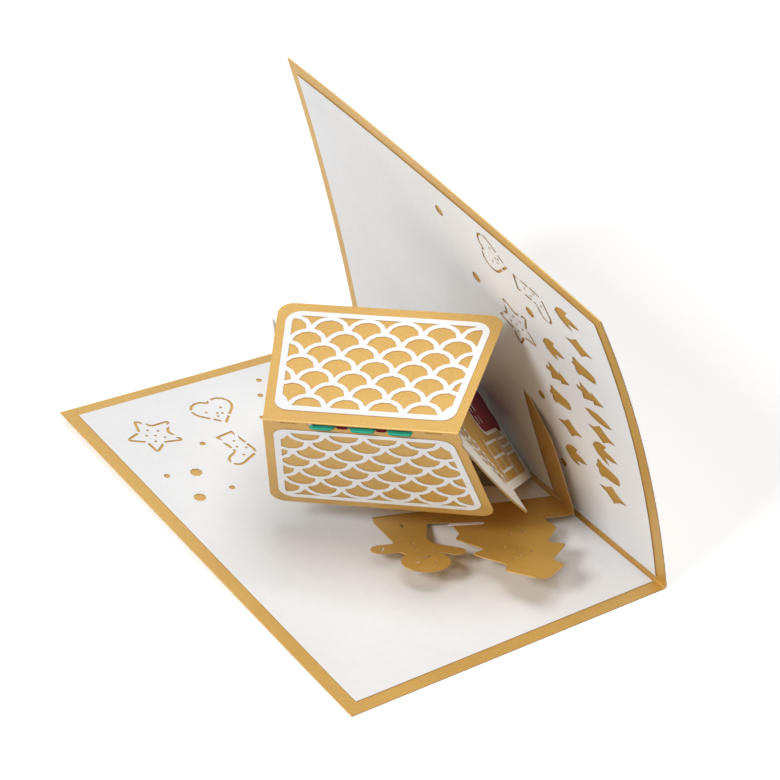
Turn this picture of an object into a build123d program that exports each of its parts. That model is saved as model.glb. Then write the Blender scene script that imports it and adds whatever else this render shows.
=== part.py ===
from build123d import *
from math import acos, atan2, ceil, cos, degrees, hypot, radians, sin, sqrt, tan
import os

# A pop up card that stands half open. Lengths are millimetres and angles are degrees. Everything is
# drawn from the near end of the fold, with X zero at the fold and negative over the base page, Y
# along the fold and Z up from the surface below. At the end it all moves so that the origin is the
# middle of the footprint.

# Paper
cover_thickness = 0.45
insert_thickness = 0.3
paper_thickness = 0.35
trim_thickness = 0.25
glue_gap = 0.12

# Card
card_width = 127.0
card_length = 177.8
upright_height = 129.0
opening_angle = 74.3
fold_radius = 0.8
fold_land = 3.0
corner_lift = 4.45
corner_bend_radius = 200.0
near_curl_radius = 528.0
far_curl_radius = 1200.0
curl_power = 1.4
section_shares = (0, 0.35, 0.7, 1)
side_border = 4.6
outer_border = 4.8
base_fold_gap = 1.3
upright_fold_gap = 1.7
cut_reach = 6.0
facet_sag = 0.2
slit_clearance = 0.3

# House
house_corner_y = 71.0
house_slope = 1.17
house_width = 51.0
house_length = 51.0
wall_height = 60.0
gable_height = 108.4
eave_reach = 8.5
slope_bulge = 3.0
back_gable_lean = 5.0

# Roof
ridge_height = 107.2
ridge_length = 62.0
ridge_overhang = 2.1
panel_length = 56.0
panel_flare = 6.8
panel_corner_radius = 5.0
ridge_heading = -46.8
ridge_pitch = 7.6
roof_lean = 25.9
roof_half_angle = 36.0
ridge_slot_start = 14.4
ridge_slot_length = 33.0
ridge_slot_setback = 0.7
ridge_slot_depth = 2.5
end_slit_place = 8.0
end_slit_length = 5.0
end_slit_width = 0.6

# Roof lattice of fish scales
lattice_ridge_margin = 5.0
lattice_eave_margin = 4.0
lattice_side_margin = 3.1
lattice_corner_radius = 5.0
frame_stroke = 2.2
scale_pitch = 12.3
scale_row = 6.15
scale_outer_radius = 6.55
scale_inner_radius = 4.9
first_scale_row = 1.5
smallest_opening = 1.2

# Inner sheets that hang under the ridge
inner_sheet_drop = 45.0
red_sheet_drop = 32.0
sheet_setback = 0.72
green_tab_length = 2.3
red_tab_length = 1.6
green_tab_width = 7.6
red_tab_width = 3.4
tab_lean = 30.0
green_tab_shares = (-0.375, 0.02, 0.38)
red_tab_shares = (-0.18, 0.2)

# Fence with a gingerbread man and a fir tree
fence_corner_y = 55.2
fence_slope = 0.33
fence_corner_height = 13.5
fence_length = 67.5
fence_end_height = 3.6
fence_upright_length = 47.0
fence_corner_radius = 4.0
tree_centre = 29.0
tree_height = 58.0
tree_width = 34.0
man_place = 61.0
man_height = 43.0
head_radius = 8.2
limb_width = 6.6
pin_radius = 0.55
strap_length = 11.0
strap_width = 1.5

# Cut-outs in the white inserts
slit_width = 1.0
bridge_width = 1.1
star_radius = 11.2
heart_width = 16.8
stocking_height = 17.5
small_dot_radius = 1.2
middle_dot_radius = 1.8
large_dot_radius = 2.2
inner_row_length = 13.0
outer_row_length = 14.5
row_width = 8.4

# Lace on the gable
lace_stroke = 1.0
lace_ring_radius = 2.3
lace_foot_radius = 4.0
door_surround = 1.4

z_axis = Vector(0, 0, 1)
fold_axis = Vector(0, 1, 0)
page_top = cover_thickness + insert_thickness
leaf_depth = insert_thickness + glue_gap
open_angle = radians(opening_angle)
page_up = Vector(-cos(open_angle), 0, sin(open_angle))
page_in = Vector(-sin(open_angle), 0, -cos(open_angle))
sheet_reach = card_length
turn_samples = 8
least_turn = radians(1)
chain_rings = 5


def x_share(share):
    """Place across the base page, as a share of its width from the fold."""
    return -card_width * share


def y_share(share):
    """Place along the fold, as a share of the card's length."""
    return card_length * share


def s_share(share):
    """Place up the upright page, as a share of its height."""
    return upright_height * share


def polygon(*points):
    """Flat face through the points."""
    return make_face(Polyline(*points, close=True))


def plate(plane, shape, amount, both=False):
    """Shape drawn on a plane and thickened along the plane's Z."""
    return extrude(plane * shape, amount=amount, dir=plane.z_dir, both=both)


def between(start, end):
    """Place in the middle of two points with X along them, and how far apart they are."""
    run = Vector(*end) - Vector(*start)
    middle = (Vector(*start) + Vector(*end)) / 2
    return Pos(middle.X, middle.Y) * Rot(0, 0, degrees(atan2(run.Y, run.X))), run.length


def bar(start, end, width):
    """Round-ended strip between two points."""
    place, length = between(start, end)
    return place * SlotCenterToCenter(length, width)


def stroke(start, end, width):
    """Square-ended strip between two points."""
    place, length = between(start, end)
    return place * Rectangle(length, width)


def edge_turn(edge):
    """Angle that an edge turns through from end to end."""
    tangents = [edge % (k / turn_samples) for k in range(turn_samples + 1)]
    return sum(radians(first.get_angle(second)) for first, second in zip(tangents, tangents[1:]))


def straight_runs(wire):
    """The wire as a polygon that leaves its arcs by no more than the facet sag."""
    points = []
    for edge in wire.order_edges():
        turn = edge_turn(edge)
        steps = 1
        if turn > least_turn:
            level = max(1 - facet_sag * turn / edge.length, 0)
            steps = ceil(turn / (2 * acos(level)))
        points += [edge @ (k / steps) for k in range(steps)]
    return polygon(*points)


def faceted(shape):
    """The shape with each arc as a few straight runs, which keeps fine cut-outs light."""
    plain = Sketch()
    for face in shape.faces():
        outline = straight_runs(face.outer_wire())
        for hole in face.inner_wires():
            outline -= straight_runs(hole)
        plain += outline
    return plain


def v_fold(slope):
    """Glue line on the base page, glue line on the upright page and crease of a V fold."""
    over_base = Vector(-1, slope, 0).normalized()
    up_page = (page_up + fold_axis * slope).normalized()
    crease = Vector(-sin(open_angle) * slope, -sin(open_angle), (1 - cos(open_angle)) * slope).normalized()
    return over_base, up_page, crease


# The two pages

def curl(y):
    """Curvature of the upright page at a place along the fold."""
    near = 1 / near_curl_radius
    far = 1 / far_curl_radius
    return far + (near - far) * (1 - y / card_length) ** curl_power


fold_end = (fold_radius - cover_thickness) / tan(open_angle / 2) + fold_radius


def page_point(y, s, depth=0):
    """Point on the upright page, s up from the fold and depth behind the white face."""
    start = Vector(0, y, page_top)
    if s <= fold_end:
        return start + page_up * s - page_in * depth
    radius = 1 / curl(y)
    turn = (s - fold_end) / radius
    centre = start + page_up * fold_end + page_in * radius
    return centre + (page_up * sin(turn) - page_in * cos(turn)) * (radius + depth)


def page_plane(y, s):
    """Plane on the white face of the upright page, X along the fold and Y up the page."""
    turn = (s - fold_end) * curl(y)
    tangent = page_up * cos(turn) + page_in * sin(turn)
    return Plane(origin=page_point(y, s), x_dir=fold_axis, z_dir=fold_axis.cross(tangent))


def page_edge(y, s_from, s_to, depth):
    """Arc across the upright page at one depth."""
    middle = (s_from + s_to) / 2
    return ThreePointArc(page_point(y, s_from, depth), page_point(y, middle, depth), page_point(y, s_to, depth))


def page_layer(y_from, y_to, s_from, s_to, depth_from, depth_to):
    """Curled layer of the upright page, lofted through its arcs."""
    sections = []
    for share in section_shares:
        y = y_from + (y_to - y_from) * share
        inner = page_edge(y, s_from, s_to, depth_from)
        outer = page_edge(y, s_from, s_to, depth_to)
        top = Line(inner @ 1, outer @ 1)
        bottom = Line(outer @ 0, inner @ 0)
        sections.append(make_face([inner, top, outer, bottom]))
    return loft(sections)


def fold_section(y):
    """Section of the cover's fold and upright leaf, from the base page's land to the top edge."""
    inner_corner = page_point(y, 0, leaf_depth)
    inner_corner += page_up * ((cover_thickness - inner_corner.Z) / page_up.Z)
    land = fold_radius / tan(open_angle / 2)
    centre = Vector(inner_corner.X - land, y, cover_thickness + fold_radius)
    half = (Vector(0, 0, -1) - page_in).normalized()
    s_start = (inner_corner - page_point(y, 0, leaf_depth)).dot(page_up) + land
    edges = []
    for radius, level, depth in ((fold_radius, cover_thickness, leaf_depth),
                                 (fold_radius + cover_thickness, 0, leaf_depth + cover_thickness)):
        on_base = Vector(centre.X, y, level)
        on_page = centre - page_in * radius
        edges.append((Line(Vector(-fold_land, y, level), on_base),
                      ThreePointArc(on_base, centre + half * radius, on_page),
                      curl_arc(y, on_page, s_start, depth)))
    inner, outer = edges
    start = Line(inner[0] @ 0, outer[0] @ 0)
    end = Line(inner[2] @ 1, outer[2] @ 1)
    return make_face([*inner, *outer, start, end])


def curl_arc(y, start, s_start, depth):
    """Arc of the leaf from the fold's end to the top edge."""
    middle = (s_start + upright_height) / 2
    return ThreePointArc(start, page_point(y, middle, depth), page_point(y, upright_height, depth))


def base_slab(z_from, z_to):
    """Layer of the base page, flat up to a diagonal and gently raised at the far outer corner."""
    diagonal = hypot(card_width, card_length)
    along = Vector(card_width, card_length, 0) / diagonal
    across = z_axis.cross(along)
    corner_distance = card_width * card_length / diagonal
    bend = atan2(corner_lift, corner_distance)
    origin = Vector(-card_width, 0, 0) - along * sheet_reach
    profile = Plane(origin=origin, x_dir=across, z_dir=along)
    sides = []
    for level in (z_from, z_to):
        radius = corner_bend_radius - level
        bend_end = Vector(sin(bend) * radius, corner_bend_radius - cos(bend) * radius)
        bend_middle = Vector(sin(bend / 2) * radius, corner_bend_radius - cos(bend / 2) * radius)
        flat = Line((-sheet_reach, level), (0, level))
        arc = ThreePointArc((0, level), bend_middle, bend_end)
        rise = Line(bend_end, bend_end + Vector(cos(bend), sin(bend)) * sheet_reach)
        sides.append((flat, arc, rise))
    lower, upper = sides
    start = Line(lower[0] @ 0, upper[0] @ 0)
    end = Line(lower[2] @ 1, upper[2] @ 1)
    return plate(profile, make_face([*lower, *upper, start, end]), diagonal + 2 * sheet_reach)


def prism(x_from, x_to, y_from, y_to):
    """Upright block over a rectangle of the base page."""
    block = Box(x_to - x_from, y_to - y_from, sheet_reach, align=(Align.MIN, Align.MIN, Align.CENTER))
    return Pos(x_from, y_from, 0) * block


# Cut-out shapes, each round its own middle

def star_shape(radius):
    points = []
    for k in range(10):
        turn = radians(90 + 36 * k)
        reach = radius if k % 2 == 0 else radius * 0.52
        points.append((reach * cos(turn), reach * sin(turn)))
    return fillet(polygon(*points).vertices(), radius * 0.09)


def heart_shape(width):
    side = width / (1 + sqrt(0.5))
    lobe = side / 2
    body = Rot(0, 0, 45) * Rectangle(side, side)
    shift = side / 2 * sqrt(0.5)
    return body + Pos(-shift, shift) * Circle(lobe) + Pos(shift, shift) * Circle(lobe)


def stocking_shape(height):
    leg = Pos(0, height * 0.14) * Rectangle(height * 0.42, height * 0.72)
    foot = bar((-height * 0.34, -height * 0.31), (height * 0.02, -height * 0.2), height * 0.38)
    return leg + foot


def slit_ring(shape, bridge_turns, reach):
    """Slit along a shape's outline, with bridges that hold its middle."""
    ring = shape - offset(shape, amount=-slit_width)
    for turn in bridge_turns:
        ring -= Rot(0, 0, turn) * Pos(reach / 2, 0) * Rectangle(reach, bridge_width)
    return ring


def pin_holes(places, size):
    """Small six-sided holes at shares of a size."""
    return Sketch() + [Pos(x * size, y * size) * RegularPolygon(pin_radius, 6) for x, y in places]


def leaf_shape(length, width):
    tip = (0, length / 2)
    tail = (0, -length / 2)
    return make_face([ThreePointArc(tip, (width / 2, 0), tail), ThreePointArc(tail, (-width / 2, 0), tip)])


def slim_leaf_shape(length, width):
    return leaf_shape(length, width * 0.56)


def sprig_shape(length, width):
    """Three leaves on one stem."""
    sprig = Pos(0, length * 0.45) * leaf_shape(length * 0.9, width * 0.46)
    for turn in (-30, 30):
        sprig += Rot(0, 0, turn) * Pos(0, length * 0.32) * leaf_shape(length * 0.64, width * 0.4)
    return Pos(0, -length * 0.42) * sprig


def sparkle_shape(length, width):
    """Four-pointed star with hollow sides."""
    tips = [(0, length / 2), (width / 2, 0), (0, -length / 2), (-width / 2, 0)]
    waist = [(width * 0.2 * x, length * 0.2 * y) for x, y in ((1, 1), (1, -1), (-1, -1), (-1, 1))]
    edges = [ThreePointArc(tips[k], waist[k], tips[(k + 1) % 4]) for k in range(4)]
    return make_face(edges)


def bell_shape(length, width):
    dome = Pos(0, length * 0.18) * Circle(width * 0.3)
    skirt = polygon((-width * 0.3, length * 0.18), (width * 0.3, length * 0.18),
                    (width * 0.4, -length * 0.3), (-width * 0.4, -length * 0.3))
    rim = Pos(0, -length * 0.34) * SlotOverall(width, length * 0.18)
    clapper = Pos(0, -length * 0.43) * Circle(width * 0.14)
    return dome + skirt + rim + clapper


def small_tree_shape(length, width):
    right = ((width * 0.36, length * 0.1), (width * 0.18, length * 0.1), (width * 0.5, -length * 0.3),
             (width * 0.12, -length * 0.3), (width * 0.12, -length * 0.46))
    left = [(-x, y) for x, y in reversed(right)]
    return polygon((0, length * 0.5), *right, *left)


star_pins = ((0, 0.3), (-0.22, 0.1), (0.24, 0.08), (0, -0.05), (-0.2, -0.28), (0.18, -0.3))
heart_pins = ((-0.2, 0.1), (0.18, 0.13), (0, -0.02), (-0.04, -0.12), (0.1, -0.06))
stocking_pins = ((0.02, 0.2), (-0.06, 0.02), (0.08, -0.1), (-0.12, -0.26))


def star_cut(radius=star_radius):
    return slit_ring(star_shape(radius), (8, 76, 130, 200, 262, 318), 2 * radius) + pin_holes(star_pins, radius)


def heart_cut(width=heart_width):
    return slit_ring(heart_shape(width), (78, 150, 215, 262, 318), width) + pin_holes(heart_pins, width)


def stocking_cut(height=stocking_height):
    ring = slit_ring(stocking_shape(height), (5, 60, 120, 176, 215, 290), height)
    return ring + pin_holes(stocking_pins, height)


def mirrored_stocking_cut():
    return stocking_cut().mirror(Plane.YZ)


# Places as shares: along the fold, out from the fold, and the turn of the shape
base_motifs = (
    (star_cut, 0.854, 0.823, 12),
    (heart_cut, 0.866, 0.609, 0),
    (stocking_cut, 0.75, 0.638, 8),
)
base_dots = (
    (0.789, 0.724, small_dot_radius), (0.728, 0.891, small_dot_radius), (0.643, 0.76, small_dot_radius),
    (0.927, 0.412, small_dot_radius), (0.88, 0.45, small_dot_radius), (0.813, 0.505, small_dot_radius),
    (0.714, 0.811, large_dot_radius), (0.643, 0.862, large_dot_radius),
)
upright_motifs = (
    (heart_cut, 0.35, 0.863, -90),
    (mirrored_stocking_cut, 0.248, 0.833, -90),
    (star_cut, 0.34, 0.633, 42),
)
upright_dots = (
    (0.524, 0.868, large_dot_radius), (0.451, 0.696, large_dot_radius), (0.276, 0.74, large_dot_radius),
    (0.313, 0.398, middle_dot_radius), (0.281, 0.175, middle_dot_radius),
)
inner_row = ((0.235, 0.248, sprig_shape), (0.235, 0.352, sparkle_shape), (0.243, 0.446, bell_shape),
             (0.238, 0.545, small_tree_shape), (0.228, 0.652, sprig_shape))
outer_row = ((0.13, 0.209, sparkle_shape), (0.128, 0.284, bell_shape), (0.134, 0.361, sprig_shape),
             (0.13, 0.437, sparkle_shape), (0.128, 0.499, slim_leaf_shape), (0.138, 0.572, small_tree_shape),
             (0.128, 0.667, bell_shape), (0.126, 0.765, sparkle_shape), (0.138, 0.857, sprig_shape))


def base_cuts():
    """Prisms of every cut-out in the base insert."""
    cuts = Sketch()
    for shape, y, x, turn in base_motifs:
        cuts += Pos(x_share(x), y_share(y)) * Rot(0, 0, turn) * shape()
    for y, x, radius in base_dots:
        cuts += Pos(x_share(x), y_share(y)) * Circle(radius)
    return plate(Plane.XY, faceted(cuts), cut_reach + corner_lift)


def upright_cut(shape, y, s, turn=0):
    """Prism of one cut-out, square to the upright page where it lies."""
    plane = page_plane(y_share(y), s_share(s))
    return plate(plane, Rot(0, 0, turn) * faceted(shape), cut_reach, both=True)


def upright_cuts():
    cuts = [upright_cut(shape(), y, s, turn) for shape, y, s, turn in upright_motifs]
    cuts += [upright_cut(Circle(radius), y, s) for y, s, radius in upright_dots]
    for row, length in ((inner_row, inner_row_length), (outer_row, outer_row_length)):
        cuts += [upright_cut(shape(length, row_width), y, s, 90) for y, s, shape in row]
    return cuts


def make_cover():
    """One sheet: the base leaf, the rounded fold and the curled upright leaf."""
    leaf = base_slab(0, cover_thickness) & prism(-card_width, -fold_land, 0, card_length)
    fold = loft([fold_section(y_share(share)) for share in section_shares])
    return leaf + fold


def plain_inserts():
    """The two white sheets before anything is cut out of them."""
    x_from = -card_width + outer_border
    far_side = card_length - side_border
    base = base_slab(cover_thickness, page_top) & prism(x_from, -base_fold_gap, side_border, far_side)
    s_to = upright_height - outer_border
    return base, page_layer(side_border, far_side, upright_fold_gap, s_to, 0, insert_thickness)


def page_blocks(cover):
    """Everything behind the cover's inner faces and a rod along the fold, which trim what stands there."""
    under = Pos(-card_width, 0, cover_thickness) * Box(
        card_width + cut_reach, card_length, cut_reach, align=(Align.MIN, Align.MIN, Align.MAX))
    behind = page_layer(0, card_length, -cut_reach, upright_height, leaf_depth, cut_reach * 2)
    relief = Pos(0, card_length / 2, page_top) * Rot(90, 0, 0) * Cylinder(2 * fold_radius, card_length)
    return [cover, under, behind, relief]


# The house

house_base, house_page, house_crease = v_fold(house_slope)
house_corner = Vector(0, house_corner_y, page_top)
gable_out = house_page.cross(house_crease)


def gable_plane(place, lean=0, depth=0):
    """Plane of a gable at a place along the house, X across the gable and Y up it."""
    origin = house_corner + house_base * place - gable_out * depth
    turn = radians(lean)
    return Plane(origin=origin, x_dir=house_page * cos(turn) + house_crease * sin(turn), z_dir=gable_out)


def gable_outline(foot=-cut_reach / 2):
    """Gable with eave points past its walls and slightly rounded slopes."""
    half = house_width / 2
    tip = half + eave_reach
    slope_middle = Vector(tip / 2 + slope_bulge, (wall_height + gable_height) / 2 + slope_bulge * 0.7)
    right = [
        Line((half, foot), (half, wall_height)),
        Line((half, wall_height), (tip, wall_height * 0.992)),
        ThreePointArc((tip, wall_height * 0.992), slope_middle, (0, gable_height)),
    ]
    left = [edge.mirror(Plane.YZ) for edge in right]
    foot_edge = Line((-half, foot), (half, foot))
    return Pos(half, 0) * make_face([*right, *left, foot_edge])


def gable_plate(place, lean, out_from, out_to):
    """Gable between two distances outside its plane."""
    return plate(gable_plane(place, lean, -out_from), gable_outline(), out_to - out_from)


def gable_space(place, out_from, out_by):
    """Wide block on one side of a gable's plane."""
    face = Pos(house_width / 2, gable_height / 2) * Rectangle(4 * house_width, 2 * gable_height)
    return plate(gable_plane(place, 0, -out_from), face, out_by)


def strip_face(corner, up, depth_way, low, high, grow=0):
    """Thin upright face at one end of a long wall."""
    near = corner - depth_way * grow
    far = corner + depth_way * (paper_thickness + grow)
    return polygon(near + up * low, near + up * high, far + up * high, far + up * low)


def back_directions():
    """Foot and crease directions of the leaning back gable."""
    plane = gable_plane(house_length, back_gable_lean)
    return plane.x_dir, plane.y_dir


def long_wall(corner_front, corner_back, inward, grow=0):
    """Long wall between a front crease and a back crease, which twists it a little."""
    low = -cut_reach / 2
    _, back_up = back_directions()
    front = strip_face(corner_front, house_crease, inward, low, wall_height, grow)
    back = strip_face(corner_back, back_up, inward, low, wall_height, grow)
    return loft([front, back], ruled=True)


base_wall_in = house_base.cross(house_crease)


def make_house(blocks, inserts, roof_block):
    """Two folded sheets: front gable with the base side wall, and back gable with the other wall."""
    back_foot, _ = back_directions()
    base_back = house_corner + house_base * house_length
    page_front = house_corner + house_page * house_width
    page_back = base_back + back_foot * house_width
    before_gable = gable_space(0, 0, house_width)
    wall = long_wall(house_corner, base_back, base_wall_in) - before_gable
    front = gable_plate(0, 0, -paper_thickness, 0) + wall
    back = gable_plate(house_length, back_gable_lean, 0, paper_thickness)
    back += long_wall(page_front, page_back, -base_wall_in) - before_gable
    for block in (*blocks, *roof_block):
        front -= block
        back -= block
    front = largest(front)
    for sheet in (front, *inserts):
        back -= sheet
    return front, largest(back)


def largest(shape):
    """The main solid of a trimmed sheet."""
    return max(shape.solids(), key=lambda solid: solid.volume)


def house_slits():
    """Slits in the inserts that the house's feet pass through."""
    gable = gable_plate(0, 0, -paper_thickness - slit_clearance, slit_clearance)
    wall = long_wall(house_corner, house_corner + house_base * house_length, base_wall_in, slit_clearance)
    return [gable, wall]


# The lace on the front gable and the door on it, placed by shares of the gable's width and wall height

region_corners = ((0.06, 0.13), (0.06, 1.13), (0.24, 1.37))
lace_strokes = (
    ((0.04, 0.45), (0.39, 0.45)), ((0.04, 0.52), (0.39, 0.52)), ((0.04, 0.97), (0.39, 0.97)),
    ((0.13, 0.52), (0.13, 0.97)), ((0.235, 0.52), (0.235, 0.97)), ((0.34, 0.52), (0.34, 0.97)),
    ((0.13, 0.74), (0.34, 0.74)),
    ((0.216, 0.11), (0.216, 0.45)), ((0.275, 0.11), (0.275, 0.45)), ((0.334, 0.11), (0.334, 0.45)),
    ((0.216, 0.2), (0.42, 0.2)), ((0.216, 0.285), (0.42, 0.285)), ((0.216, 0.37), (0.42, 0.37)),
)
ring_chains = (((0.04, 1.05), (0.5, 1.4)), ((0.12, 1.22), (0.5, 1.52)))


def gable_spot(x, y):
    return Vector(house_width * x, wall_height * y)


def ring_chain(start, end):
    """Row of small rings on a stroke."""
    spots = [start + (end - start) * ((k + 0.5) / chain_rings) for k in range(chain_rings)]
    places = [Pos(spot.X, spot.Y) for spot in spots]
    chain = Sketch() + stroke(start, end, lace_stroke)
    chain += [place * RegularPolygon(lace_ring_radius, 6) for place in places]
    return chain - [place * RegularPolygon(lace_ring_radius - lace_stroke, 6) for place in places]


def lace_region():
    """Part of the gable that shows between the strokes."""
    left = [gable_spot(x, y) for x, y in region_corners]
    right = [gable_spot(1 - x, y) for x, y in reversed(region_corners)]
    region = polygon(*left, gable_spot(0.5, 1.58), *right)
    return fillet(region.vertices().sort_by(Axis.Y)[:2], lace_foot_radius)


def lace_openings():
    """The region between the strokes, the ring chains and the plain plate under the door."""
    strokes = Sketch() + [stroke(gable_spot(*start), gable_spot(*end), lace_stroke) for start, end in lace_strokes]
    for start, end in ring_chains:
        strokes += ring_chain(gable_spot(*start), gable_spot(*end))
    strokes += Pos(house_width, 0) * strokes.mirror(Plane.YZ)
    strokes += offset(door_outline(), amount=door_surround)
    return lace_region() - strokes


def make_lace(blocks, roof_block):
    face = faceted(gable_outline(insert_thickness)) - faceted(lace_openings())
    lace = plate(gable_plane(0), face, trim_thickness)
    for block in (*blocks, *roof_block):
        lace -= block
    return largest(lace)


def door_outline():
    """Arched door with two round lobes at its foot."""
    half = house_width * 0.137
    top = wall_height * 0.83
    lobe = half * 0.75
    low = wall_height * 0.09 + lobe
    door = Pos(0, (top - half + low) / 2) * Rectangle(2 * half, top - half - low)
    door += Pos(0, top - half) * Circle(half)
    for side in (-1, 1):
        door += Pos(side * half * 0.55, low) * Circle(lobe)
    return Pos(house_width * 0.55, 0) * door


def door_slots():
    """Two slots on each side of the door's middle."""
    slots = Sketch()
    for x in (0.505, 0.595):
        for y in (0.635, 0.75):
            spot = gable_spot(x, y)
            slots += Pos(spot.X, spot.Y) * Rectangle(house_width * 0.065, wall_height * 0.053)
    return slots


def make_door(blocks):
    door = plate(gable_plane(0, 0, -trim_thickness), faceted(door_outline()) - door_slots(), trim_thickness)
    for block in blocks:
        door -= block
    return largest(door)


# The roof

heading = radians(ridge_heading)
pitch = radians(ridge_pitch)
lean = radians(roof_lean)
ridge_way = Vector(cos(pitch) * cos(heading), cos(pitch) * sin(heading), sin(pitch))
level_side = Vector(-sin(heading), cos(heading), 0)
roof_up = ridge_way.cross(level_side) * sin(lean) - level_side * cos(lean)
roof_side = roof_up.cross(ridge_way)
ridge_front = (house_corner + house_crease * ridge_height + house_page * (house_width / 2)
               - house_base * ridge_overhang)
ridge_middle = ridge_front - ridge_way * (ridge_length / 2)


def panel_plane(side):
    """Outer face of a roof panel, Y down its slope. Side is 1 for the upper panel, -1 for the lower."""
    half = radians(roof_half_angle)
    outward = roof_up * sin(half) + roof_side * (side * cos(half))
    return Plane(origin=ridge_middle, x_dir=ridge_way * side, z_dir=outward)


def panel_outline():
    """Panel that widens towards its eave, with rounded eave corners."""
    half = ridge_length / 2
    face = polygon((-half, 0), (half, 0), (half + panel_flare, panel_length), (-half - panel_flare, panel_length))
    eave = [v for v in face.vertices() if v.Y > panel_length / 2]
    return fillet(eave, panel_corner_radius)


def end_slits():
    """Short slits across the panel beside each end of the ridge."""
    slits = Sketch()
    for side in (-1, 1):
        x = side * (ridge_length / 2 - end_slit_place)
        slits += Pos(x, end_slit_width * 2) * Rectangle(end_slit_length, end_slit_width)
    return slits


def make_roof():
    """One sheet folded at the ridge, with the slot that the inner sheets' tabs pass through."""
    roof = Part()
    for side in (1, -1):
        roof += plate(panel_plane(side), panel_outline(), -paper_thickness)
    slot_middle = ridge_length / 2 - ridge_slot_start - ridge_slot_length / 2
    slot = Pos(slot_middle, (ridge_slot_setback + ridge_slot_depth) / 2) * Rectangle(
        ridge_slot_length, ridge_slot_depth - ridge_slot_setback)
    roof -= plate(panel_plane(-1), slot, paper_thickness * 4, both=True)
    roof -= plate(panel_plane(-1), end_slits(), paper_thickness * 2, both=True)
    return roof


def roof_blocks(roof):
    """The roof and the space outside it, which trim what ends under it."""
    blocks = [roof]
    for side in (1, -1):
        blocks.append(plate(panel_plane(side), panel_outline(), panel_length / 2))
    return blocks


def scale_openings(inner):
    """Openings between overlapping rings, in rows that are set off by half a pitch."""
    openings = Sketch()
    rows = int(panel_length / scale_row) + 1
    columns = int((ridge_length / 2 + panel_flare) / scale_pitch) + 1
    for row in range(rows):
        y = lattice_ridge_margin + first_scale_row + scale_row * row
        for column in range(-columns, columns + 1):
            x = scale_pitch * (column + 0.5 * ((row + 1) % 2))
            opening = Pos(x, y) * Circle(scale_inner_radius)
            for neighbour in (-0.5, 0.5):
                opening -= Pos(x + scale_pitch * neighbour, y - scale_row) * Circle(scale_outer_radius)
            for face in (opening & inner).faces():
                if face.area > smallest_opening ** 2:
                    openings += face
    return faceted(openings)


def make_lattice(side):
    """White fish-scale lattice in a rounded frame, on a panel's outer face."""
    top = lattice_ridge_margin
    bottom = panel_length - lattice_eave_margin
    half = ridge_length / 2 - lattice_side_margin
    widen = panel_flare / panel_length
    corners = ((-half - widen * top, top), (half + widen * top, top),
               (half + widen * bottom, bottom), (-half - widen * bottom, bottom))
    frame = fillet(polygon(*corners).vertices(), lattice_corner_radius)
    inner = offset(frame, amount=-frame_stroke)
    return plate(panel_plane(side), frame - scale_openings(inner), trim_thickness)


# The sheets that hang under the ridge

def make_inner_sheet(layer, drop, tab_shares, tab_size, blocks):
    """Sheet that spans from gable to gable, with tabs out through the ridge slot."""
    slot_middle = ridge_front - ridge_way * (ridge_length - ridge_slot_start - ridge_slot_length / 2)
    origin = slot_middle - roof_side * (sheet_setback - paper_thickness * layer)
    top = -ridge_slot_depth * 0.92
    body_plane = Plane(origin=origin, x_dir=ridge_way, z_dir=-roof_side)
    body = Pos(0, (top - drop) / 2) * Rectangle(ridge_length * 1.6, drop + top)
    sheet = plate(body_plane, body, paper_thickness)
    for block in blocks:
        sheet -= block
    sheet = largest(sheet)
    turn = radians(tab_lean)
    tab_out = roof_up * cos(turn) - roof_side * sin(turn)
    tab_plane = Plane(origin=origin + roof_up * top, x_dir=ridge_way, z_dir=ridge_way.cross(tab_out))
    width, length = tab_size
    tab = Pos(0, length / 2) * Rectangle(width, length)
    tab = fillet(tab.vertices().sort_by(Axis.Y)[-2:], length * 0.6)
    for share in tab_shares:
        sheet += plate(tab_plane, Pos(ridge_slot_length * share, 0) * tab, paper_thickness)
    return sheet


def gable_stops():
    """Space outside the two gables' inner faces, which the inner sheets end at."""
    front = gable_space(0, -paper_thickness, house_width)
    back = gable_space(house_length, paper_thickness, -house_width)
    return [front, back]


# The fence

fence_base, fence_page, fence_crease = v_fold(fence_slope)
fence_corner = Vector(0, fence_corner_y, page_top)


def tree_shape():
    """Fir tree of three tiers on a short trunk, slightly lopsided."""
    tiers = ((0.5, 0.36), (0.3, 0.54), (0.46, 0.58), (0.22, 0.76), (0.28, 0.84), (0.06, 0.97))
    right = [(tree_width * x, tree_height * y) for x, y in tiers]
    left = [(-x * 1.12, y * 1.02) for x, y in reversed(right)]
    outline = [(tree_width * 0.42, 0), (tree_width * 0.42, tree_height * 0.3), *right,
               (0, tree_height), *left, (-tree_width * 0.5, tree_height * 0.2), (-tree_width * 0.5, 0)]
    tree = polygon(*outline)
    tree = fillet([v for v in tree.vertices() if v.Y > 0], tree_width * 0.035)
    holes = ((-0.03, 0.55), (0.11, 0.55), (-0.12, 0.64), (0.02, 0.67), (0.1, 0.7), (-0.2, 0.37), (-0.06, 0.38))
    for x, y in holes:
        tree -= Pos(tree_width * x, tree_height * y) * RegularPolygon(pin_radius * 1.2, 6)
    return tree


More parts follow.
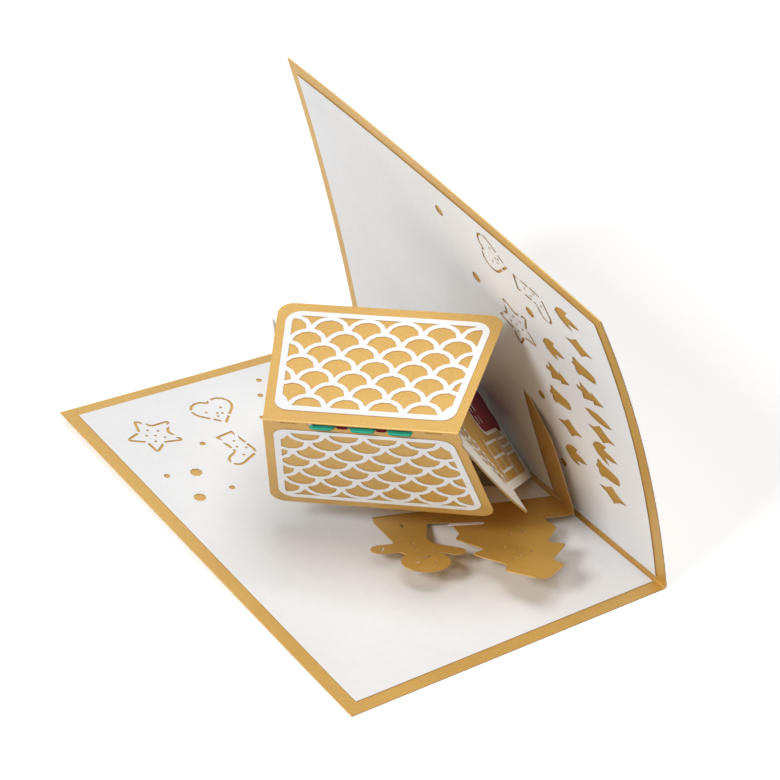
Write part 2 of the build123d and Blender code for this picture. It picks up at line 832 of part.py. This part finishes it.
def man_shape():
    """Gingerbread man with one arm up, eyes, a smile, two buttons and an iced cuff."""
    hip = man_height * 0.4
    man = Pos(0, man_height - head_radius) * Circle(head_radius)
    man += Pos(0, hip + limb_width * 0.7) * Ellipse(limb_width, limb_width * 1.25)
    man += bar((-limb_width * 0.35, hip * 1.3), (-limb_width * 1.9, hip * 1.75), limb_width * 0.85)
    man += bar((limb_width * 0.4, hip * 1.3), (limb_width * 1.75, hip * 1.28), limb_width)
    man += bar((-limb_width * 0.3, hip), (-limb_width * 1.25, 0), limb_width * 1.2)
    man += bar((limb_width * 0.3, hip), (limb_width * 0.5, 0), limb_width * 1.1)
    for x, y in ((-0.3, 0.84), (0.3, 0.81)):
        man -= Pos(head_radius * x * 1.2, man_height * y) * RegularPolygon(pin_radius * 1.3, 6)
    smile = make_face([ThreePointArc((-head_radius * 0.42, 0), (0, head_radius * 0.26), (head_radius * 0.42, 0)),
                       ThreePointArc((head_radius * 0.42, 0), (0, head_radius * 0.14), (-head_radius * 0.42, 0))])
    man -= Pos(0, man_height * 0.71) * smile
    for y in (0.58, 0.48):
        man -= Pos(0, man_height * y) * RegularPolygon(pin_radius * 1.3, 6)
    cuff = limb_width * 1.6
    for k in range(3):
        x = cuff + (k - 1) * pin_radius
        man -= bar((x, hip * (1.2 + 0.06 * k)), (x + pin_radius * 0.6, hip * (1.25 + 0.06 * k)), pin_radius)
    return man


def base_wing_outline():
    """Band along the base page with the tree and the man on it, X out from the fold."""
    low = -cut_reach / 2
    band = polygon((0, low), (0, fence_corner_height), (fence_length * 0.2, fence_corner_height * 0.96),
                   (fence_length, fence_end_height), (fence_length, low))
    band = fillet(band.vertices().sort_by(Axis.Y)[-2:], fence_corner_radius * 0.8)
    return band + Pos(tree_centre, 0) * tree_shape() + Pos(man_place, 0) * man_shape()


def upright_wing_outline():
    """Band up the upright page with a bush at its end."""
    low = -cut_reach / 2
    length = fence_upright_length
    height = fence_corner_height
    bush = ((0.1, 1.1), (0.24, 1.13), (0.42, 1.21), (0.57, 1.24), (0.68, 1.21), (0.81, 0.89), (0.91, 0.63),
            (1, 0.24))
    top = [(length * x, height * y) for x, y in bush]
    wing = polygon((0, low), (0, height), *top, (length, low))
    return fillet([v for v in wing.vertices() if v.Y > 0 and v.X > 0], fence_corner_radius * 0.4)


def wing_plane(way):
    """Plane of a fence wing, X out from the crease and Y up it."""
    return Plane(origin=fence_corner, x_dir=way, z_dir=way.cross(fence_crease))


def fence_wings(outward, grow=0):
    """Both wings, as thick as the paper or grown for the inserts' slits."""
    base = plate(wing_plane(fence_base).offset(-grow), faceted(base_wing_outline()), outward)
    page = plate(wing_plane(fence_page).offset(grow), faceted(upright_wing_outline()), -outward)
    return [base, page]


def make_fence(blocks):
    base, page = fence_wings(paper_thickness)
    fence = base + page
    for block in blocks:
        fence -= block
    return largest(fence)


def make_strap():
    """White strap across the band, between the man and the tree."""
    start = fence_length * 0.49
    level = fence_corner_height * 0.86
    face = bar((start, level), (start + strap_length, level * 0.85), strap_width)
    return plate(wing_plane(fence_base).offset(paper_thickness), faceted(face), trim_thickness)


def make_card():
    cover = make_cover()
    blocks = page_blocks(cover)
    fence_slits = fence_wings(paper_thickness + 2 * slit_clearance, slit_clearance)
    slits = house_slits() + fence_slits
    base_insert, upright_insert = plain_inserts()
    roof = make_roof()
    over_roof = roof_blocks(roof)
    house_front, house_back = make_house(blocks, (base_insert, upright_insert), over_roof)
    stops = gable_stops()
    green_tab = (green_tab_width, green_tab_length)
    red_tab = (red_tab_width, red_tab_length)
    return {
        "cover": cover,
        "base_insert": base_insert - base_cuts() - slits,
        "upright_insert": upright_insert - upright_cuts() - slits,
        "house_front": house_front,
        "house_back": house_back,
        "gable_lace": make_lace(blocks, over_roof),
        "door": make_door(blocks),
        "roof": roof,
        "roof_lattice_upper": make_lattice(1),
        "roof_lattice_lower": make_lattice(-1),
        "inner_sheet_green": make_inner_sheet(0, inner_sheet_drop, green_tab_shares, green_tab, stops),
        "inner_sheet_red": make_inner_sheet(1, red_sheet_drop, red_tab_shares, red_tab, stops),
        "fence": make_fence(blocks),
        "fence_strap": make_strap(),
    }


def centred(parts):
    """Moves the parts so that the origin is the middle of the footprint."""
    middle = parts["cover"].bounding_box().center()
    return {node: Pos(-middle.X, -middle.Y, 0) * shape for node, shape in parts.items()}


os.makedirs("parts", exist_ok=True)
for node, shape in centred(make_card()).items():
    export_step(shape, f"parts/{node}.step")
    print(node, len(shape.solids()), round(shape.volume, 1))
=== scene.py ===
import bpy
from mathutils import Matrix, Vector


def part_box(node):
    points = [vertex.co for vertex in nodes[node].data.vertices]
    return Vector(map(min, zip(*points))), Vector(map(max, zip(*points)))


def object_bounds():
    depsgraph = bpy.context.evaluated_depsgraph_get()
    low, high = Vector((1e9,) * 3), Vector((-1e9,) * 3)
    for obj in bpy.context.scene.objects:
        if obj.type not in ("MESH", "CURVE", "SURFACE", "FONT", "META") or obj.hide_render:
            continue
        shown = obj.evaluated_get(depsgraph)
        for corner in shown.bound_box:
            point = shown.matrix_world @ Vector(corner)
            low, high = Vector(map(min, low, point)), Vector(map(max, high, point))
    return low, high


# A pop up card that stands half open on a pale floor. Lengths are metres, in the frame of the
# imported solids: the fold runs along Y and the surface below is at Z zero.

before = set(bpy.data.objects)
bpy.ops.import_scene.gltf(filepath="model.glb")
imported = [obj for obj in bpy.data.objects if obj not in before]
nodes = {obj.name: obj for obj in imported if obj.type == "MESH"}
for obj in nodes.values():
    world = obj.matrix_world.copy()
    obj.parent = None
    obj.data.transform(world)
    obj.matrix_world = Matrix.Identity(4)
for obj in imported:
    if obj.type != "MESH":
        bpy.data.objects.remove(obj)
cad_low, cad_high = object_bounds()

# Card
card_width = 0.127
cover_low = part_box("cover")[0]
fold_end = Vector((cover_low.x + card_width, cover_low.y, cad_low.z))

# Camera, placed from the near end of the fold
camera_place = fold_end + Vector((-0.5038, -0.4620, 0.5194))
camera_right = Vector((0.8073, -0.5833, 0.0893))
camera_up = Vector((0.2667, 0.4957, 0.8265))
camera_back = Vector((-0.5264, -0.6435, 0.5558))
camera_lens = 118.71
camera_near_clip = 0.01

# Light: each softbox has a size, a place and a power
room_strength = 0.09
room_colour = (1.0, 0.86, 0.76)
lamp_colour = (0.97, 0.985, 1.0)
top_box = (0.65, Vector((-0.12, -0.11, 1.2)), 7.55)
side_box = (0.42, Vector((-1.45, -0.26, 1.1)), 18.6)

# Floor: its glow rises from floor_lift to 1 between the two distances of floor_fade
floor_corners = ((-1, -1), (1, -1), (1, 1), (-1, 1))
floor_reach = 4.0
floor_white = (0.93, 0.93, 0.93)
floor_roughness = 0.9
floor_lift = 0.42
floor_fade = (0.35, 1.1)

# Colours as linear values: the darker and lighter parts of a face, then its cut edge
gold_low = (0.56, 0.306, 0.045)
gold_high = (0.705, 0.425, 0.082)
gold_core = (0.36, 0.19, 0.04)
white_low = (0.855, 0.855, 0.86)
white_high = (0.915, 0.917, 0.923)
# White and cream cut edge: browned by the laser cut, and darkened further as painted shade for the
# thin shadow lines along lattice and slit edges.
white_edge_brown_and_shade = (0.45, 0.32, 0.18)
cream_low = (0.78, 0.74, 0.66)
cream_high = (0.87, 0.84, 0.78)
green_low = (0.02, 0.4, 0.25)
green_high = (0.05, 0.55, 0.38)
green_core = (0.02, 0.25, 0.16)
crimson_low = (0.16, 0.002, 0.014)
crimson_high = (0.25, 0.004, 0.026)
crimson_core = (0.09, 0.003, 0.01)

# Texture sizes: how many repeats there are in a metre
fibre_repeats = 2400
felt_repeats = 420
cloud_repeats = 26
fleck_repeats = 3800
laid_repeats = 380

# Paper: shares of its tone and relief, ranges of roughness, and a bump's strength and depth
fibre_stretch = (1.0, 0.3, 0.6)
fibre_detail = 3.0
cloud_detail = 2.0
paper_cloud_share = 0.65
paper_felt_share = 0.35
paper_felt_relief = 0.8
paper_tones = (0.3, 0.7)
paper_roughness = (0.62, 0.86)
paper_bump = (0.35, 0.00004)
paper_specular = 0.2
paper_sheen = 0.03
paper_sheen_roughness = 0.6

# Pearl gold, in the same terms
laid_distortion = 2.2
laid_detail = 2.0
gold_cloud_share = 0.6
gold_fleck_share = 0.34
gold_laid_share = 0.06
gold_laid_relief = 0.3
gold_tones = (0.25, 0.75)
gold_roughness = (0.44, 0.58)
gold_bump = (0.2, 0.00002)
gold_metallic = 0.25
gold_ior = 2.1

# Cut edges: cosines between the ways that two faces look, and a flat side's least share of area
same_side_cosine = 0.9
edge_cosine = 0.62
least_side_share = 0.08

# A Mix node's colour sockets by place, because their names repeat
first_colour, second_colour, mixed_colour = 6, 7, 2


def add_node(tree, kind, **values):
    """A node with its properties set."""
    node = tree.nodes.new(kind)
    for name, value in values.items():
        setattr(node, name, value)
    return node


def noise(tree, place, repeats, detail):
    """Noise value at a number of repeats in a metre."""
    node = add_node(tree, "ShaderNodeTexNoise")
    node.inputs["Scale"].default_value = repeats
    node.inputs["Detail"].default_value = detail
    tree.links.new(place, node.inputs["Vector"])
    return node.outputs["Fac"]


def ramp(tree, value, low, high, ends):
    """Colour between low and high as a value rises between two ends."""
    node = add_node(tree, "ShaderNodeValToRGB")
    for element, position, colour in zip(node.color_ramp.elements, ends, (low, high)):
        element.position = position
        element.color = (*colour, 1)
    tree.links.new(value, node.inputs["Fac"])
    return node.outputs["Color"]


def span(tree, value, low, high, start=0.0, end=1.0):
    """Number between low and high as a value rises from start to end."""
    node = add_node(tree, "ShaderNodeMapRange")
    node.inputs["From Min"].default_value = start
    node.inputs["From Max"].default_value = end
    node.inputs["To Min"].default_value = low
    node.inputs["To Max"].default_value = high
    tree.links.new(value, node.inputs["Value"])
    return node.outputs["Result"]


def math_node(tree, operation, first, second):
    """Result of an operation on two sockets or numbers."""
    node = add_node(tree, "ShaderNodeMath", operation=operation)
    for place, value in enumerate((first, second)):
        if isinstance(value, (int, float)):
            node.inputs[place].default_value = value
        else:
            tree.links.new(value, node.inputs[place])
    return node.outputs["Value"]


def weighted_sum(tree, first, *others):
    """Sum of sockets, each given with its share."""
    total = math_node(tree, "MULTIPLY", *first)
    for socket, share in others:
        total = math_node(tree, "ADD", total, math_node(tree, "MULTIPLY", socket, share))
    return total


def with_edge(tree, mask, face, core):
    """Face colour where the mask is 0 and edge colour where it is 1."""
    node = add_node(tree, "ShaderNodeMix", data_type="RGBA")
    node.inputs[second_colour].default_value = (*core, 1)
    tree.links.new(mask, node.inputs["Factor"])
    tree.links.new(face, node.inputs[first_colour])
    return node.outputs[mixed_colour]


def sheet_directions(mesh):
    """Directions that the flat sides of a folded sheet face."""
    directions = []
    for polygon in sorted(mesh.polygons, key=lambda p: -p.area):
        normal = polygon.normal
        for entry in directions:
            if abs(entry[0].dot(normal)) > same_side_cosine:
                entry[1] += polygon.area
                break
        else:
            directions.append([normal.copy(), polygon.area])
    least_area = least_side_share * sum(area for _, area in directions)
    return [direction for direction, area in directions if area > least_area]


def cut_edge_mask(tree, coordinates, mesh):
    """1 on the cut edges of a sheet and 0 on its flat sides."""
    nearest = 0.0
    for direction in sheet_directions(mesh):
        dot = add_node(tree, "ShaderNodeVectorMath", operation="DOT_PRODUCT")
        tree.links.new(coordinates.outputs["Normal"], dot.inputs[0])
        dot.inputs[1].default_value = direction
        level = math_node(tree, "ABSOLUTE", dot.outputs["Value"], 0.0)
        nearest = math_node(tree, "MAXIMUM", level, nearest)
    return math_node(tree, "LESS_THAN", nearest, edge_cosine)


def start_material(name):
    """New material, its tree, its shader and its texture coordinates."""
    material = bpy.data.materials.new(name)
    material.use_nodes = True
    tree = material.node_tree
    shader = tree.nodes["Principled BSDF"]
    return material, tree, shader, add_node(tree, "ShaderNodeTexCoord")


def stretched(tree, place, stretch):
    """A place, stretched so that fibres run along one way."""
    node = add_node(tree, "ShaderNodeMapping")
    node.inputs["Scale"].default_value = stretch
    tree.links.new(place, node.inputs["Vector"])
    return node.outputs["Vector"]


def add_bump(tree, shader, height, strength, distance):
    """Relief from a height."""
    node = add_node(tree, "ShaderNodeBump")
    node.inputs["Strength"].default_value = strength
    node.inputs["Distance"].default_value = distance
    tree.links.new(height, node.inputs["Height"])
    tree.links.new(node.outputs["Normal"], shader.inputs["Normal"])


def paper(name, mesh, low, high, core):
    """Uncoated paper: soft clouds, felt marks, fibres and a darker cut edge, which on white and
    cream paper is partly painted shade.
    """
    material, tree, shader, coordinates = start_material(name)
    place = coordinates.outputs["Object"]
    fibres = noise(tree, stretched(tree, place, fibre_stretch), fibre_repeats, fibre_detail)
    felt = noise(tree, place, felt_repeats, fibre_detail)
    clouds = noise(tree, place, cloud_repeats, cloud_detail)
    tone = weighted_sum(tree, (clouds, paper_cloud_share), (felt, paper_felt_share))
    face = ramp(tree, tone, low, high, paper_tones)
    colour = with_edge(tree, cut_edge_mask(tree, coordinates, mesh), face, core)
    tree.links.new(colour, shader.inputs["Base Color"])
    tree.links.new(span(tree, felt, *paper_roughness), shader.inputs["Roughness"])
    height = weighted_sum(tree, (fibres, 1.0), (felt, paper_felt_relief))
    add_bump(tree, shader, height, *paper_bump)
    shader.inputs["Specular IOR Level"].default_value = paper_specular
    shader.inputs["Sheen Weight"].default_value = paper_sheen
    shader.inputs["Sheen Roughness"].default_value = paper_sheen_roughness
    return material


def mica_flecks(tree, place):
    """Three numbers that are new in each fleck."""
    cells = add_node(tree, "ShaderNodeTexVoronoi")
    cells.inputs["Scale"].default_value = fleck_repeats
    tree.links.new(place, cells.inputs["Vector"])
    parts = add_node(tree, "ShaderNodeSeparateColor")
    tree.links.new(cells.outputs["Color"], parts.inputs["Color"])
    return parts.outputs["Red"], parts.outputs["Green"], parts.outputs["Blue"]


def laid_lines(tree, place):
    """Faint wavy lines of a laid card."""
    node = add_node(tree, "ShaderNodeTexWave", bands_direction="DIAGONAL")
    node.inputs["Scale"].default_value = laid_repeats
    node.inputs["Distortion"].default_value = laid_distortion
    node.inputs["Detail"].default_value = laid_detail
    tree.links.new(place, node.inputs["Vector"])
    return node.outputs["Fac"]


def pearl_gold(name, mesh, low, high, core):
    """Pearl gold card: mica flecks, faint laid lines and a duller cut edge."""
    material, tree, shader, coordinates = start_material(name)
    place = coordinates.outputs["Object"]
    fleck_tone, fleck_gloss, fleck_height = mica_flecks(tree, place)
    lines = laid_lines(tree, place)
    clouds = noise(tree, place, cloud_repeats, cloud_detail)
    shares = ((clouds, gold_cloud_share), (fleck_tone, gold_fleck_share), (lines, gold_laid_share))
    face = ramp(tree, weighted_sum(tree, *shares), low, high, gold_tones)
    colour = with_edge(tree, cut_edge_mask(tree, coordinates, mesh), face, core)
    tree.links.new(colour, shader.inputs["Base Color"])
    tree.links.new(span(tree, fleck_gloss, *gold_roughness), shader.inputs["Roughness"])
    height = weighted_sum(tree, (fleck_height, 1.0), (lines, gold_laid_relief))
    add_bump(tree, shader, height, *gold_bump)
    shader.inputs["Metallic"].default_value = gold_metallic
    shader.inputs["IOR"].default_value = gold_ior
    return material


def dress(names, slot, make, *colours):
    """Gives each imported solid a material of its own."""
    for name in names:
        mesh = nodes[name].data
        mesh.materials.clear()
        mesh.materials.append(make(slot + "_" + name, mesh, *colours))


def dress_card():
    """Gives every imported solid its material."""
    gold = ("cover", "house_front", "roof", "fence")
    pages = ("base_insert", "upright_insert")
    trims = ("roof_lattice_upper", "roof_lattice_lower", "fence_strap")
    dress(gold, "pearl_gold", pearl_gold, gold_low, gold_high, gold_core)
    dress(pages + trims, "white_paper", paper, white_low, white_high, white_edge_brown_and_shade)
    dress(("house_back", "gable_lace"), "cream_paper", paper, cream_low, cream_high, white_edge_brown_and_shade)
    dress(("inner_sheet_green",), "green_paper", paper, green_low, green_high, green_core)
    reds = ("inner_sheet_red", "door")
    dress(reds, "crimson_paper", paper, crimson_low, crimson_high, crimson_core)


def is_seen_directly(tree):
    """1 for camera, glossy and transmission rays."""
    path = add_node(tree, "ShaderNodeLightPath")
    camera, glossy = path.outputs["Is Camera Ray"], path.outputs["Is Glossy Ray"]
    seen = math_node(tree, "MAXIMUM", camera, glossy)
    return math_node(tree, "MAXIMUM", seen, path.outputs["Is Transmission Ray"])


def make_world():
    """Dim room light, behind which the camera sees plain white."""
    world = bpy.data.worlds.new("studio")
    world.use_nodes = True
    tree = world.node_tree
    room = tree.nodes["Background"]
    room.inputs["Color"].default_value = (*room_colour, 1)
    room.inputs["Strength"].default_value = room_strength
    backdrop = add_node(tree, "ShaderNodeBackground")
    backdrop.inputs["Color"].default_value = (1, 1, 1, 1)
    backdrop.inputs["Strength"].default_value = 1.0
    mixed = add_node(tree, "ShaderNodeMixShader")
    tree.links.new(is_seen_directly(tree), mixed.inputs["Fac"])
    tree.links.new(room.outputs["Background"], mixed.inputs[1])
    tree.links.new(backdrop.outputs["Background"], mixed.inputs[2])
    tree.links.new(mixed.outputs["Shader"], tree.nodes["World Output"].inputs["Surface"])
    bpy.context.scene.world = world


def floor_material():
    """Matt white that glows a little to the camera, and more further out, to meet the room."""
    material, tree, shader, coordinates = start_material("floor_white")
    shader.inputs["Base Color"].default_value = (*floor_white, 1)
    shader.inputs["Roughness"].default_value = floor_roughness
    shader.inputs["Specular IOR Level"].default_value = 0.0
    distance = add_node(tree, "ShaderNodeVectorMath", operation="LENGTH")
    tree.links.new(coordinates.outputs["Object"], distance.inputs[0])
    lift = span(tree, distance.outputs["Value"], floor_lift, 1.0, *floor_fade)
    strength = math_node(tree, "MULTIPLY", is_seen_directly(tree), lift)
    glow = add_node(tree, "ShaderNodeEmission")
    tree.links.new(strength, glow.inputs["Strength"])
    total = add_node(tree, "ShaderNodeAddShader")
    tree.links.new(shader.outputs["BSDF"], total.inputs[0])
    tree.links.new(glow.outputs["Emission"], total.inputs[1])
    tree.links.new(total.outputs["Shader"], tree.nodes["Material Output"].inputs["Surface"])
    return material


def make_floor():
    """A square floor under the card."""
    mesh = bpy.data.meshes.new("floor")
    corners = [(x * floor_reach, y * floor_reach, cad_low.z) for x, y in floor_corners]
    mesh.from_pydata(corners, [], [range(len(corners))])
    mesh.materials.append(floor_material())
    floor = bpy.data.objects.new("floor", mesh)
    bpy.context.scene.collection.objects.link(floor)


def make_softbox(name, size, place, power):
    """A square softbox aimed at the middle of the card."""
    data = bpy.data.lights.new(name, "AREA")
    data.shape = "SQUARE"
    data.size = size
    data.energy = power
    data.color = lamp_colour
    light = bpy.data.objects.new(name, data)
    middle = (cad_low + cad_high) / 2
    light.location = place
    light.rotation_euler = (place - middle).to_track_quat("Z", "Y").to_euler()
    bpy.context.scene.collection.objects.link(light)


def make_camera():
    """The photograph's camera."""
    data = bpy.data.cameras.new("camera")
    data.lens = camera_lens
    data.clip_start = camera_near_clip
    camera = bpy.data.objects.new("camera", data)
    turn = Matrix((camera_right, camera_up, camera_back)).transposed()
    camera.matrix_world = Matrix.Translation(camera_place) @ turn.to_4x4()
    bpy.context.scene.collection.objects.link(camera)
    bpy.context.scene.camera = camera


make_camera()
make_world()
make_floor()
make_softbox("top_softbox", *top_box)
make_softbox("side_softbox", *side_box)
dress_card()
bpy.context.scene.view_settings.view_transform = "Standard"
